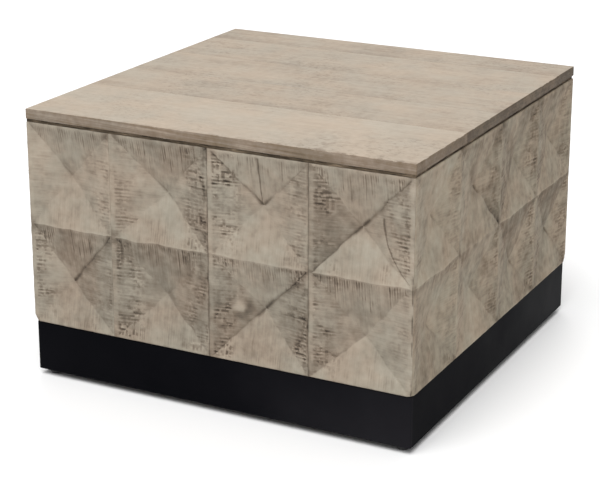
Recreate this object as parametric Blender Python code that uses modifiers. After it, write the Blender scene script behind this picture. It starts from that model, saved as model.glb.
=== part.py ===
"""A square block coffee table: a case of carved planks on a steel plinth, under a boarded top.

Metres, +Z up. The origin is on the floor under the middle of the table, and the front faces -Y.
"""
import math

import bmesh
import bpy
from mathutils import Vector

# Overall sizes
TABLE_WIDTH = 0.762
TABLE_DEPTH = 0.762
TOP_THICKNESS = 0.019
SHADOW_GAP = 0.005
CASE_HEIGHT = 0.381
PLINTH_HEIGHT = 0.095
FOOT_PAD_HEIGHT = 0.012

# The gap that touching pieces keep
TOUCH_GAP = 0.0003

# Top: the boards share the depth in these proportions, front to back
TOP_BOARD_SHARES = (212, 147, 155, 153, 95)
TOP_EDGE_EASE = 0.0015
BATTEN_WIDTH = 0.060
BATTEN_THICKNESS = 0.022
BATTEN_SPACING = 0.400
BATTEN_END_GAP = 0.004

# Spacer strips that make the shadow gap
STRIP_SETBACK = 0.008
STRIP_WIDTH = 0.040

# Carved planks: the planks share their side in these proportions, left to right as seen from outside
FRONT_PLANK_SHARES = (175, 198, 194, 195)
RIGHT_PLANK_SHARES = (190, 191, 191, 190)
BACK_PLANK_SHARES = (193, 190, 188, 191)
LEFT_PLANK_SHARES = (189, 192, 193, 188)
HOLLOWS_PER_PLANK = 2
PLANK_THICKNESS = 0.032
PLANK_EASE = 0.002
HOLLOW_DEPTH = 0.017
HOLLOW_RIM = 0.003

# Frame inside the case
POST_SIZE = 0.040
RAIL_HEIGHT = 0.040
RAIL_THICKNESS = 0.022
FLOOR_THICKNESS = 0.012

# Plinth of folded steel
PLINTH_INSET = 0.003
PLINTH_WALL = 0.0025
PLINTH_FLANGE = 0.056
PLINTH_EASE = 0.0008

# Lag bolts that hold the plinth to the bottom rails
BOLT_DIAMETER = 0.008
BOLT_LENGTH = 0.030
BOLT_HEAD_ACROSS = 0.013
BOLT_HEAD_HEIGHT = 0.0055

# Gusset plates with welded nuts, and the levelling feet that screw into them
GUSSET_SIZE = 0.070
GUSSET_THICKNESS = 0.005
NUT_ACROSS = 0.013
NUT_HEIGHT = 0.0065
FOOT_INSET = 0.026
FOOT_PAD_DIAMETER = 0.023
FOOT_PAD_EASE = 0.003
FOOT_STEM_DIAMETER = 0.008
FOOT_STEM_LENGTH = 0.040
FOOT_STEM_EASE = 0.001
FOOT_SOCKET_DEPTH = 0.007
HOLE_CLEARANCE = 0.0003

# Facets of the round pieces
PAD_SIDES = 32
STEM_SIDES = 24
EASE_SEGMENTS = 2
EASE_ANGLE = math.radians(35)

# Heights of the joints between the layers
PLINTH_BOTTOM = FOOT_PAD_HEIGHT
PLINTH_TOP = PLINTH_BOTTOM + PLINTH_HEIGHT
CASE_TOP = PLINTH_TOP + CASE_HEIGHT
TOP_BOTTOM = CASE_TOP + SHADOW_GAP
TOP_SURFACE = TOP_BOTTOM + TOP_THICKNESS

# How far in from the outer faces the plank backs and the frame lie
PLANK_BACK = PLANK_THICKNESS + TOUCH_GAP
POST_BACK = PLANK_BACK + POST_SIZE
RAIL_BACK = PLANK_BACK + RAIL_THICKNESS
BOLT_LINE = PLANK_BACK + RAIL_THICKNESS / 2


for old in list(bpy.data.objects):
    bpy.data.objects.remove(old, do_unlink=True)

parts = bpy.data.collections.new("coffee_table")
cutters = bpy.data.collections.new("cutters")
bpy.context.scene.collection.children.link(parts)
bpy.context.scene.collection.children.link(cutters)


def make_material(name, colour, roughness, metallic):
    material = bpy.data.materials.new(name)
    material.use_nodes = True
    shader = material.node_tree.nodes["Principled BSDF"]
    shader.inputs["Base Color"].default_value = (*colour, 1.0)
    shader.inputs["Roughness"].default_value = roughness
    shader.inputs["Metallic"].default_value = metallic
    return material


top_wood = make_material("limed_top_wood", (0.55, 0.47, 0.37), 0.6, 0.0)
plank_wood = make_material("limed_plank_wood", (0.38, 0.33, 0.26), 0.75, 0.0)
frame_wood = make_material("plain_frame_wood", (0.50, 0.38, 0.25), 0.7, 0.0)
strip_black = make_material("black_stained_wood", (0.02, 0.017, 0.014), 0.8, 0.0)
plinth_black = make_material("black_powder_coat", (0.012, 0.012, 0.014), 0.45, 0.0)
zinc_steel = make_material("zinc_plated_steel", (0.60, 0.60, 0.58), 0.35, 1.0)
black_nylon = make_material("black_nylon", (0.015, 0.015, 0.015), 0.5, 0.0)


def make_empty(name, location, angle):
    empty = bpy.data.objects.new(name, None)
    empty.location = location
    empty.rotation_euler = (0.0, 0.0, angle)
    parts.objects.link(empty)
    return empty


def make_object(name, shape, material, parent):
    bmesh.ops.recalc_face_normals(shape, faces=shape.faces)
    mesh = bpy.data.meshes.new(name)
    shape.to_mesh(mesh)
    shape.free()
    mesh.materials.append(material)
    piece = bpy.data.objects.new(name, mesh)
    piece.parent = parent
    parts.objects.link(piece)
    return piece


def make_cutter(name, shape, parent):
    bmesh.ops.recalc_face_normals(shape, faces=shape.faces)
    mesh = bpy.data.meshes.new(name)
    shape.to_mesh(mesh)
    shape.free()
    cutter = bpy.data.objects.new(name, mesh)
    cutter.parent = parent
    cutter.hide_render = True
    cutter.display_type = "WIRE"
    cutters.objects.link(cutter)
    return cutter


def cut(piece, cutter, operation="DIFFERENCE"):
    boolean = piece.modifiers.new(cutter.name, "BOOLEAN")
    boolean.operation = operation
    boolean.solver = "EXACT"
    boolean.object = cutter


def ease(piece, width, limit="ANGLE"):
    bevel = piece.modifiers.new("eased_edges", "BEVEL")
    bevel.width = width
    bevel.segments = EASE_SEGMENTS
    bevel.limit_method = limit
    bevel.angle_limit = EASE_ANGLE


def add_box(shape, low, high):
    """A box between two corners."""
    low = Vector(low)
    high = Vector(high)
    made = bmesh.ops.create_cube(shape, size=1.0)["verts"]
    for vertex in made:
        vertex.co = (low + high) / 2 + vertex.co * (high - low)


def box(low, high):
    shape = bmesh.new()
    add_box(shape, low, high)
    return shape


def add_prism(shape, centre, radius, low, high, sides):
    """An upright prism with flat ends, such as a bore, a stem or a hexagon head."""
    made = bmesh.ops.create_cone(
        shape, cap_ends=True, segments=sides, radius1=radius, radius2=radius, depth=high - low
    )["verts"]
    bmesh.ops.translate(shape, verts=made, vec=(centre[0], centre[1], (low + high) / 2))


def prism(centre, radius, low, high, sides):
    shape = bmesh.new()
    add_prism(shape, centre, radius, low, high, sides)
    return shape


def hexagon_radius(across):
    return across / math.sqrt(3)


def edges_of_shares(length, shares):
    """Places that split a length in the given proportions, from its negative to its positive end."""
    places = [-length / 2]
    for share in shares:
        places.append(places[-1] + length * share / sum(shares))
    return places


def mitre(shape, length, end):
    """Slants one end of a side piece at 45 degrees, so that it gets shorter with its depth."""
    far = end * length
    for vertex in shape.verts:
        if abs(vertex.co.x - far / 2) < length * 1e-6:
            vertex.co.x -= end * (vertex.co.y + TOUCH_GAP)


# The four sides and the four corners. On a side, x runs left to right as seen from outside, y runs inward.
sides = {
    "front": (TABLE_WIDTH, TABLE_DEPTH, 0),
    "right": (TABLE_DEPTH, TABLE_WIDTH, 1),
    "back": (TABLE_WIDTH, TABLE_DEPTH, 2),
    "left": (TABLE_DEPTH, TABLE_WIDTH, 3),
}
plank_shares = {
    "front": FRONT_PLANK_SHARES,
    "right": RIGHT_PLANK_SHARES,
    "back": BACK_PLANK_SHARES,
    "left": LEFT_PLANK_SHARES,
}
corners = {
    "front_left": (-1, -1, 0),
    "front_right": (1, -1, 1),
    "back_right": (1, 1, 2),
    "back_left": (-1, 1, 3),
}
quarter_turn = math.pi / 2
side_empty = {}
for side, (length, across, turn) in sides.items():
    angle = turn * quarter_turn
    place = (math.sin(angle) * across / 2, -math.cos(angle) * across / 2, 0.0)
    side_empty[side] = make_empty(f"{side}_side", place, angle)
corner_empty = {}
for corner, (x_sign, y_sign, turn) in corners.items():
    place = (x_sign * TABLE_WIDTH / 2, y_sign * TABLE_DEPTH / 2, 0.0)
    corner_empty[corner] = make_empty(f"{corner}_corner", place, turn * quarter_turn)


# Top boards, glued edge to edge. Only the rim of the whole top is eased, so the seams stay tight.
def on_rim(first, second, front_edge, back_edge):
    """True for an edge that lies on the rim of the whole top."""
    def at_end(vertex):
        return abs(abs(vertex.x) - TABLE_WIDTH / 2) < TOUCH_GAP / 2

    def at_front_or_back(vertex):
        return vertex.y < front_edge or vertex.y > back_edge

    ends = at_end(first) and at_end(second)
    long_sides = at_front_or_back(first) and at_front_or_back(second)
    level = abs(first.z - second.z) < TOUCH_GAP / 2
    return (ends and long_sides) or (level and (ends or long_sides))


board_edges = edges_of_shares(TABLE_DEPTH, TOP_BOARD_SHARES)
rim_reach = TABLE_DEPTH / 2 - TOUCH_GAP / 4
for number, (near, far) in enumerate(zip(board_edges, board_edges[1:]), 1):
    first_board = number == 1
    last_board = number == len(TOP_BOARD_SHARES)
    near_face = near if first_board else near + TOUCH_GAP / 2
    far_face = far if last_board else far - TOUCH_GAP / 2
    shape = box((-TABLE_WIDTH / 2, near_face, TOP_BOTTOM), (TABLE_WIDTH / 2, far_face, TOP_SURFACE))
    weight = shape.edges.layers.float.new("bevel_weight_edge")
    for edge in shape.edges:
        if on_rim(edge.verts[0].co, edge.verts[1].co, -rim_reach, rim_reach):
            edge[weight] = 1.0
    board = make_object(f"top_board_{number}", shape, top_wood, None)
    ease(board, TOP_EDGE_EASE, "WEIGHT")

# Battens under the top, across its boards, between the front and back frame
batten_reach = TABLE_DEPTH / 2 - max(RAIL_BACK, STRIP_SETBACK + STRIP_WIDTH) - BATTEN_END_GAP
for name, sign in (("left", -1), ("right", 1)):
    middle = sign * BATTEN_SPACING / 2
    shape = box(
        (middle - BATTEN_WIDTH / 2, -batten_reach, TOP_BOTTOM - TOUCH_GAP - BATTEN_THICKNESS),
        (middle + BATTEN_WIDTH / 2, batten_reach, TOP_BOTTOM - TOUCH_GAP),
    )
    make_object(f"top_batten_{name}", shape, frame_wood, None)


# Each side: spacer strip, planks, rails, plinth skirt and its bolt
def carved_plank(left, right, length):
    """A plank with a row of four-facet hollows in its outer face, mitred where it meets a corner."""
    at_left_corner = left <= -length / 2
    at_right_corner = right >= length / 2
    left_face = left if at_left_corner else left + TOUCH_GAP / 2
    right_face = right if at_right_corner else right - TOUCH_GAP / 2
    shape = box((left_face, 0.0, PLINTH_TOP), (right_face, PLANK_THICKNESS, CASE_TOP - TOUCH_GAP))
    if at_left_corner:
        mitre(shape, length, -1)
    if at_right_corner:
        mitre(shape, length, 1)
    for row in range(1, HOLLOWS_PER_PLANK):
        height = PLINTH_TOP + CASE_HEIGHT * row / HOLLOWS_PER_PLANK
        bmesh.ops.bisect_plane(
            shape,
            geom=shape.verts[:] + shape.edges[:] + shape.faces[:],
            plane_co=(0.0, 0.0, height),
            plane_no=(0.0, 0.0, 1.0),
        )
    bmesh.ops.recalc_face_normals(shape, faces=shape.faces)
    carved = [face for face in shape.faces if face.normal.y < -0.9]
    bmesh.ops.inset_individual(shape, faces=carved, thickness=HOLLOW_RIM, use_even_offset=True)
    bmesh.ops.poke(shape, faces=carved, offset=-HOLLOW_DEPTH, center_mode="MEAN")
    return shape


def plinth_skirt(length):
    """A folded sheet: an upright wall with a flange turned inward along its top, mitred at both ends."""
    skirt_length = length - 2 * PLINTH_INSET
    high = PLINTH_TOP - TOUCH_GAP
    shape = box((-skirt_length / 2, 0.0, PLINTH_BOTTOM), (skirt_length / 2, PLINTH_WALL, high))
    bmesh.ops.bisect_plane(
        shape,
        geom=shape.verts[:] + shape.edges[:] + shape.faces[:],
        plane_co=(0.0, 0.0, high - PLINTH_WALL),
        plane_no=(0.0, 0.0, 1.0),
    )
    bmesh.ops.recalc_face_normals(shape, faces=shape.faces)
    fold = [
        face
        for face in shape.faces
        if face.normal.y > 0.9 and face.calc_center_median().z > high - PLINTH_WALL
    ]
    grown = bmesh.ops.extrude_face_region(shape, geom=fold)["geom"]
    bmesh.ops.delete(shape, geom=fold, context="FACES")
    moved = [item for item in grown if isinstance(item, bmesh.types.BMVert)]
    bmesh.ops.translate(shape, verts=moved, vec=(0.0, PLINTH_FLANGE - PLINTH_WALL, 0.0))
    mitre(shape, skirt_length, -1)
    mitre(shape, skirt_length, 1)
    bmesh.ops.translate(shape, verts=shape.verts, vec=(0.0, PLINTH_INSET, 0.0))
    return shape


for side, (length, across, turn) in sides.items():
    empty = side_empty[side]
    runs_through = side in ("front", "back")

    strip_end = STRIP_SETBACK if runs_through else STRIP_SETBACK + STRIP_WIDTH + TOUCH_GAP
    strip_reach = length / 2 - strip_end
    shape = box(
        (-strip_reach, STRIP_SETBACK, CASE_TOP),
        (strip_reach, STRIP_SETBACK + STRIP_WIDTH, TOP_BOTTOM - TOUCH_GAP),
    )
    make_object(f"spacer_strip_{side}", shape, strip_black, empty)

    plank_edges = edges_of_shares(length, plank_shares[side])
    for number, (left, right) in enumerate(zip(plank_edges, plank_edges[1:]), 1):
        first_plank = number == 1
        last_plank = number == len(plank_shares[side])
        left = -length / 2 if first_plank else left
        right = length / 2 if last_plank else right
        plank = make_object(f"{side}_plank_{number}", carved_plank(left, right, length), plank_wood, empty)
        ease(plank, PLANK_EASE)

    rail_reach = length / 2 - POST_BACK - TOUCH_GAP
    rail_top = CASE_TOP - TOUCH_GAP
    shape = box((-rail_reach, PLANK_BACK, rail_top - RAIL_HEIGHT), (rail_reach, RAIL_BACK, rail_top))
    make_object(f"top_rail_{side}", shape, frame_wood, empty)

    shape = box((-rail_reach, PLANK_BACK, PLINTH_TOP), (rail_reach, RAIL_BACK, PLINTH_TOP + RAIL_HEIGHT))
    bottom_rail = make_object(f"bottom_rail_{side}", shape, frame_wood, empty)

    skirt = make_object(f"plinth_skirt_{side}", plinth_skirt(length), plinth_black, empty)
    ease(skirt, PLINTH_EASE)

    seat = PLINTH_TOP - TOUCH_GAP - PLINTH_WALL
    bolt_place = (0.0, BOLT_LINE)
    shape = prism(
        bolt_place,
        BOLT_DIAMETER / 2 + HOLE_CLEARANCE,
        seat - BOLT_HEAD_HEIGHT / 2,
        seat + BOLT_LENGTH + HOLE_CLEARANCE,
        STEM_SIDES,
    )
    bolt_hole = make_cutter(f"bolt_hole_{side}", shape, empty)
    cut(skirt, bolt_hole)
    cut(bottom_rail, bolt_hole)

    head_top = seat - TOUCH_GAP
    shape = prism(
        bolt_place, hexagon_radius(BOLT_HEAD_ACROSS), head_top - BOLT_HEAD_HEIGHT, head_top, 6
    )
    bolt = make_object(f"plinth_bolt_{side}", shape, zinc_steel, empty)
    shape = prism(
        bolt_place, BOLT_DIAMETER / 2, head_top - BOLT_HEAD_HEIGHT / 2, seat + BOLT_LENGTH, STEM_SIDES
    )
    shank = make_cutter(f"bolt_shank_{side}", shape, empty)
    cut(bolt, shank, "UNION")

# Floor panel on the bottom rails, notched round the posts
floor_low = PLINTH_TOP + RAIL_HEIGHT + TOUCH_GAP
floor_high = floor_low + FLOOR_THICKNESS
x_reach = TABLE_WIDTH / 2 - PLANK_BACK
y_reach = TABLE_DEPTH / 2 - PLANK_BACK
shape = box((-x_reach, -y_reach, floor_low), (x_reach, y_reach, floor_high))
floor_panel = make_object("floor_panel", shape, frame_wood, None)

# Each corner: post, gusset with its nut, and the levelling foot. There, x and y both run inward.
pad_top = FOOT_PAD_HEIGHT - TOUCH_GAP
socket_floor = pad_top - FOOT_SOCKET_DEPTH
pad_radius = FOOT_PAD_DIAMETER / 2
socket_radius = FOOT_STEM_DIAMETER / 2 + HOLE_CLEARANCE
gusset_start = PLINTH_INSET + PLINTH_WALL + TOUCH_GAP
gusset_top = PLINTH_BOTTOM + GUSSET_THICKNESS
foot_axis = (FOOT_INSET, FOOT_INSET)


def pad_profile():
    """The turned outline of a foot pad: its socket, its rim, and its side rounded under to the floor."""
    points = [(0.0, socket_floor), (socket_radius, socket_floor), (socket_radius, pad_top)]
    points.append((pad_radius, pad_top))
    for step in range(5):
        angle = quarter_turn * step / 4
        reach = pad_radius - FOOT_PAD_EASE + FOOT_PAD_EASE * math.cos(angle)
        points.append((reach, FOOT_PAD_EASE - FOOT_PAD_EASE * math.sin(angle)))
    points.append((0.0, 0.0))
    return points


def turned(points):
    """An outline of distances from the axis and heights, as a chain of edges for a Screw modifier."""
    shape = bmesh.new()
    chain = [shape.verts.new((reach, 0.0, height)) for reach, height in points]
    for start, stop in zip(chain, chain[1:]):
        shape.edges.new((start, stop))
    return shape


for corner in corners:
    empty = corner_empty[corner]
    shape = box((PLANK_BACK, PLANK_BACK, PLINTH_TOP), (POST_BACK, POST_BACK, CASE_TOP - TOUCH_GAP))
    make_object(f"corner_post_{corner}", shape, frame_wood, empty)

    notch_reach = POST_BACK + TOUCH_GAP
    shape = box(
        (0.0, 0.0, floor_low - FLOOR_THICKNESS),
        (notch_reach, notch_reach, floor_high + FLOOR_THICKNESS),
    )
    notch = make_cutter(f"floor_notch_{corner}", shape, empty)
    cut(floor_panel, notch)

    shape = box(
        (gusset_start, gusset_start, PLINTH_BOTTOM),
        (gusset_start + GUSSET_SIZE, gusset_start + GUSSET_SIZE, gusset_top),
    )
    gusset = make_object(f"foot_gusset_{corner}", shape, plinth_black, empty)
    shape = prism(
        foot_axis,
        hexagon_radius(NUT_ACROSS),
        gusset_top - GUSSET_THICKNESS / 2,
        gusset_top + NUT_HEIGHT,
        6,
    )
    nut = make_cutter(f"welded_nut_{corner}", shape, empty)
    cut(gusset, nut, "UNION")
    shape = prism(
        foot_axis,
        socket_radius,
        PLINTH_BOTTOM - GUSSET_THICKNESS,
        gusset_top + NUT_HEIGHT + GUSSET_THICKNESS,
        STEM_SIDES,
    )
    bore = make_cutter(f"stem_bore_{corner}", shape, empty)
    cut(gusset, bore)

    foot = make_empty(f"{corner}_foot", (*foot_axis, 0.0), 0.0)
    foot.parent = empty
    pad = make_object(f"foot_pad_{corner}", turned(pad_profile()), black_nylon, foot)
    screw = pad.modifiers.new("turned", "SCREW")
    screw.steps = PAD_SIDES
    screw.render_steps = PAD_SIDES
    screw.use_merge_vertices = True
    screw.merge_threshold = 0.00005
    screw.use_smooth_shade = True

    shape = prism(
        (0.0, 0.0),
        FOOT_STEM_DIAMETER / 2,
        socket_floor + TOUCH_GAP,
        FOOT_PAD_HEIGHT + FOOT_STEM_LENGTH,
        STEM_SIDES,
    )
    stem = make_object(f"foot_stem_{corner}", shape, zinc_steel, foot)
    ease(stem, FOOT_STEM_EASE)
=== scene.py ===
import math
import random

import bmesh
import bpy
from mathutils import Matrix, Vector


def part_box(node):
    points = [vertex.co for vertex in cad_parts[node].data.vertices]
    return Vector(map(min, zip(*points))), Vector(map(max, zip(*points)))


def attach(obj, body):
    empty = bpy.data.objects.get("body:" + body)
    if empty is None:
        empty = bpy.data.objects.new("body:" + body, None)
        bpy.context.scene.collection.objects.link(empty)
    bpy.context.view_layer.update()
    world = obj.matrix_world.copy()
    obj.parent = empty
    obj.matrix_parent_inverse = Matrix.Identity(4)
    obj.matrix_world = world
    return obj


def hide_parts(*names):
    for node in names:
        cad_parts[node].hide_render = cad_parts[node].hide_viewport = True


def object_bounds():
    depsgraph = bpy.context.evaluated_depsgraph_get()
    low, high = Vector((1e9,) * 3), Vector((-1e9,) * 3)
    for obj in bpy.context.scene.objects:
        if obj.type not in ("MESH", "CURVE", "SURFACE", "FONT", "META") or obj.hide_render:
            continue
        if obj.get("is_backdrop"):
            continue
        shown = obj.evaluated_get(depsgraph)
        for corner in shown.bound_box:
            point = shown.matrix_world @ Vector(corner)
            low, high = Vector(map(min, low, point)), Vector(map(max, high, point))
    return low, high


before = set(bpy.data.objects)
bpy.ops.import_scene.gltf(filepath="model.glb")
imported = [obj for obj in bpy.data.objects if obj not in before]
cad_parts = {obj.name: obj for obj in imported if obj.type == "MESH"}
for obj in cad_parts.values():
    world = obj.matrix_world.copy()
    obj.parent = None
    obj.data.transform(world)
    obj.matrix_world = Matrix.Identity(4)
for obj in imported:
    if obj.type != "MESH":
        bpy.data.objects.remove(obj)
cad_low, cad_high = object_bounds()


# Levelling feet. Each is a moulded black nylon pad on a zinc-plated M8 stem, which screws into
# a nut welded to the gusset plate in the plinth's corner. Pad and stem go up and down together.
class Web:
    """Lays out the nodes of one tree. Each call adds a node, wires its inputs and returns an output."""

    def __init__(self, tree):
        self.tree = tree
        self.shader = tree.nodes.get("Principled BSDF")

    def add(self, kind, inputs=(), output=0, **settings):
        node = self.tree.nodes.new(kind)
        for name, value in settings.items():
            setattr(node, name, value)
        for key, value in dict(inputs).items():
            self.wire(value, node.inputs[key])
        return node.outputs[output]

    def wire(self, value, socket):
        if isinstance(value, bpy.types.NodeSocket):
            self.tree.links.new(value, socket)
        else:
            socket.default_value = value

    def math(self, operation, *values):
        return self.add("ShaderNodeMath", enumerate(values), operation=operation)

    def chain(self, operation, values):
        total = values[0]
        for value in values[1:]:
            total = self.math(operation, total, value)
        return total

    def plus(self, *values):
        return self.chain("ADD", values)

    def times(self, *values):
        return self.chain("MULTIPLY", values)

    def least(self, *values):
        return self.chain("MINIMUM", values)

    def most(self, *values):
        return self.chain("MAXIMUM", values)

    def minus(self, first, second):
        return self.math("SUBTRACT", first, second)

    def over(self, first, second):
        return self.math("DIVIDE", first, second)

    def rest_of(self, share):
        return self.minus(1.0, share)

    def size_of(self, value):
        return self.math("ABSOLUTE", value)

    def above(self, value, limit):
        """1 where value is above limit, 0 elsewhere."""
        return self.math("GREATER_THAN", value, limit)

    def pick(self, choice, if_no, if_yes):
        """if_no where choice is 0, if_yes where it is 1."""
        return self.add("ShaderNodeMix", {0: choice, 2: if_no, 3: if_yes}, data_type="FLOAT")

    def ramp(self, value, start, stop, low=0.0, high=1.0):
        """Goes smoothly from low at start to high at stop, and stays there. Either end may be the larger."""
        inputs = {"Value": value, 1: start, 2: stop, 3: low, 4: high}
        return self.add("ShaderNodeMapRange", inputs, interpolation_type="SMOOTHSTEP")

    def split(self, vector):
        node = self.tree.nodes.new("ShaderNodeSeparateXYZ")
        self.wire(vector, node.inputs[0])
        return node.outputs

    def join(self, x, y, z):
        return self.add("ShaderNodeCombineXYZ", {0: x, 1: y, 2: z})

    def stretched(self, vector, *scales):
        """The vector with its x, y and z each times a scale of its own."""
        return self.add("ShaderNodeVectorMath", {0: vector, 1: scales}, operation="MULTIPLY")

    def noise(self, vector, scale=1.0, detail=2.0, roughness=0.5):
        inputs = {"Vector": vector, "Scale": scale, "Detail": detail, "Roughness": roughness}
        return self.add("ShaderNodeTexNoise", inputs, noise_dimensions="3D")

    def centred(self, value, amount):
        """A value from 0 to 1, moved to lie about zero, times amount."""
        return self.times(self.minus(value, 0.5), amount)

    def swing(self, vector, amount, scale=1.0, detail=2.0, roughness=0.5):
        """Noise about zero, from minus amount to plus amount at the most."""
        return self.centred(self.noise(vector, scale, detail, roughness), 2.0 * amount)

    def colours(self, value, stops):
        node = self.tree.nodes.new("ShaderNodeValToRGB")
        elements = node.color_ramp.elements
        while len(elements) < len(stops):
            elements.new(0.5)
        for element, (place, colour) in zip(elements, stops):
            element.position = place
            element.color = (*colour, 1.0)
        self.wire(value, node.inputs[0])
        return node.outputs[0]

    def tint(self, colour, by):
        inputs = {0: 1.0, 6: colour, 7: by}
        return self.add("ShaderNodeMix", inputs, output=2, data_type="RGBA", blend_type="MULTIPLY")

    def bump(self, height, distance, strength):
        return self.add("ShaderNodeBump", {"Strength": strength, "Distance": distance, "Height": height})

    def attribute(self, name, output=1):
        """A vector kept on the mesh or, with output 2, a plain number."""
        return self.add("ShaderNodeAttribute", output=output, attribute_name=name)

    def place(self):
        return self.add("ShaderNodeTexCoord", output=3)

    def finish(self, colour, roughness=None, normal=None):
        """Wires what varies over a finish to its shader."""
        for name, value in (("Base Color", colour), ("Roughness", roughness), ("Normal", normal)):
            if value is not None:
                self.wire(value, self.shader.inputs[name])


def new_finish(name, roughness=0.5, metallic=0.0, specular=0.5):
    """A material, and the web to lay out the nodes of its finish."""
    material = bpy.data.materials.new(name)
    material.use_nodes = True
    web = Web(material.node_tree)
    for socket, value in (("Roughness", roughness), ("Metallic", metallic), ("Specular IOR Level", specular)):
        web.wire(value, web.shader.inputs[socket])
    return material, web


def in_scene(name, data):
    """A new object at the scene's origin."""
    made = bpy.data.objects.new(name, data)
    bpy.context.scene.collection.objects.link(made)
    return made


def shade(mesh, sharp_angle):
    mesh.shade_smooth()
    mesh.set_sharp_from_angle(angle=sharp_angle)


def smooth_piece(name, points, faces, material):
    """A mesh piece with its place in its mesh, merged, facing outward and shaded smooth."""
    mesh = bpy.data.meshes.new(name)
    mesh.from_pydata(points, [], faces)
    shape = bmesh.new()
    shape.from_mesh(mesh)
    bmesh.ops.remove_doubles(shape, verts=shape.verts, dist=1e-6)
    bmesh.ops.recalc_face_normals(shape, faces=shape.faces)
    shape.to_mesh(mesh)
    shape.free()
    shade(mesh, PIECE_SHARP)
    mesh.materials.append(material)
    return in_scene(name, mesh)


def ring_faces(rows, around, ends=None):
    """Faces between rings of points. The last ring joins the first, both are capped, or neither."""
    faces = []
    for row in range(rows if ends == "joined" else rows - 1):
        here = row * around
        above = ((row + 1) % rows) * around
        for step in range(around):
            turn = (step + 1) % around
            faces.append((here + step, here + turn, above + turn, above + step))
    if ends == "capped":
        faces += [tuple(range(around)), tuple(range((rows - 1) * around, rows * around))]
    return faces


def dress(piece, body, slot, *nodes):
    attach(piece, body)
    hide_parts(*nodes)


def paint(nodes, material):
    """Gives CAD nodes that keep their own shape a finished material."""
    for node in nodes:
        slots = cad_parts[node].data.materials
        slots.clear()
        slots.append(material)


nylon, web = new_finish("black_nylon")
place = web.place()
mottle = web.noise(place, 260.0, 3.0)
web.finish(
    web.colours(mottle, [(0.3, (0.008, 0.008, 0.009)), (0.8, (0.022, 0.022, 0.023))]),
    web.ramp(mottle, 0.2, 0.8, 0.42, 0.62),
    web.bump(web.noise(place, 900.0), 0.0001, 0.4),
)

zinc, web = new_finish("zinc_plate", metallic=1.0)
place = web.place()
bloom = web.noise(place, 180.0, 4.0, 0.6)
web.finish(
    web.colours(bloom, [(0.25, (0.36, 0.36, 0.35)), (0.75, (0.62, 0.61, 0.58))]),
    web.ramp(bloom, 0.2, 0.8, 0.26, 0.46),
    web.bump(web.noise(place, 700.0), 0.00008, 0.3),
)

CORNERS = ("front_left", "front_right", "back_right", "back_left")
PIECE_SHARP = 0.6
PAD_AROUND = 64
PAD_LIP = 0.0006
PAD_GROOVE = 0.0008
PAD_GROOVE_SHARE = 0.72
PAD_SEAT_SHARE = 0.45
PAD_ROUND_SHARE = 0.3
PAD_ROUND_STEPS = 6
ON_AXIS = 1e-7
STEM_AROUND = 32
STEM_RINGS_PER_TURN = 8
STEM_PLAY = 0.0003
STEM_TIP = 0.001
STEM_TIP_SHARE = 0.7
THREAD_PITCH = 0.00125
THREAD_DEPTH = 0.00066
THREAD_FLANK = 2.6


def ring_point(centre, reach, turn, height):
    """A point round an upright axis. turn goes from 0 to 1 once round."""
    angle = 2 * math.pi * turn
    return centre.x + reach * math.cos(angle), centre.y + reach * math.sin(angle), height


def pad_outline(radius, height, bore):
    """From the stem hole out over the rim, down the grooved side and round under to the floor."""
    seat = height * PAD_SEAT_SHARE
    groove = height * PAD_GROOVE_SHARE
    under = radius * PAD_ROUND_SHARE
    outline = [(ON_AXIS, seat), (bore, seat), (bore, height - PAD_LIP), (bore + PAD_LIP, height)]
    outline += [(radius - PAD_LIP, height), (radius, height - PAD_LIP)]
    outline += [(radius, groove + PAD_GROOVE), (radius - PAD_GROOVE, groove), (radius, groove - PAD_GROOVE)]
    for step in range(PAD_ROUND_STEPS + 1):
        angle = math.pi / 2 * step / PAD_ROUND_STEPS
        outline.append((radius - under + under * math.cos(angle), under - under * math.sin(angle)))
    return outline + [(ON_AXIS, 0.0)]


for corner in CORNERS:
    low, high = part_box(f"foot_pad_{corner}")
    stem_low, stem_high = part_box(f"foot_stem_{corner}")
    middle = (low + high) / 2
    stem_radius = (stem_high.x - stem_low.x) / 2
    outline = pad_outline((high.x - low.x) / 2, high.z, stem_radius + STEM_PLAY)
    points = []
    for reach, height in outline:
        points += [ring_point(middle, reach, step / PAD_AROUND, height) for step in range(PAD_AROUND)]
    pad = smooth_piece(f"nylon_pad_{corner}", points, ring_faces(len(outline), PAD_AROUND), nylon)
    dress(pad, f"foot_{corner}", "foot_nylon", f"foot_pad_{corner}")

    rings = int((stem_high.z - stem_low.z) / THREAD_PITCH * STEM_RINGS_PER_TURN)
    points = []
    for ring in range(rings + 1):
        height = stem_low.z + (stem_high.z - stem_low.z) * ring / rings
        taper = min(1.0, STEM_TIP_SHARE + (1.0 - STEM_TIP_SHARE) * (stem_high.z - height) / STEM_TIP)
        for step in range(STEM_AROUND):
            along_thread = (height / THREAD_PITCH - step / STEM_AROUND) % 1.0
            crest = min(1.0, THREAD_FLANK * abs(along_thread - 0.5))
            reach = taper * (stem_radius - THREAD_DEPTH * (1.0 - crest))
            points.append(ring_point(middle, reach, step / STEM_AROUND, height))
    faces = ring_faces(rings + 1, STEM_AROUND, "capped")
    stem = smooth_piece(f"threaded_stem_{corner}", points, faces, zinc)
    dress(stem, f"foot_{corner}", "zinc_steel", f"foot_stem_{corner}")


# Plinth. Four folded steel skirts, welded into one band with small rounded corners and a flange turned
# in along its top, then powder-coated satin black. Gussets and lag bolts sit inside it.
SIDES = ("front", "right", "back", "left")
CORNER_RADIUS = 0.0035
CORNER_STEPS = 6
INNER_CORNER_RADIUS = 0.0004
FOLD_RADIUS = 0.003
FOLD_STEPS = 4
SHEET = 0.0025
BLUNT = 0.0006

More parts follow.
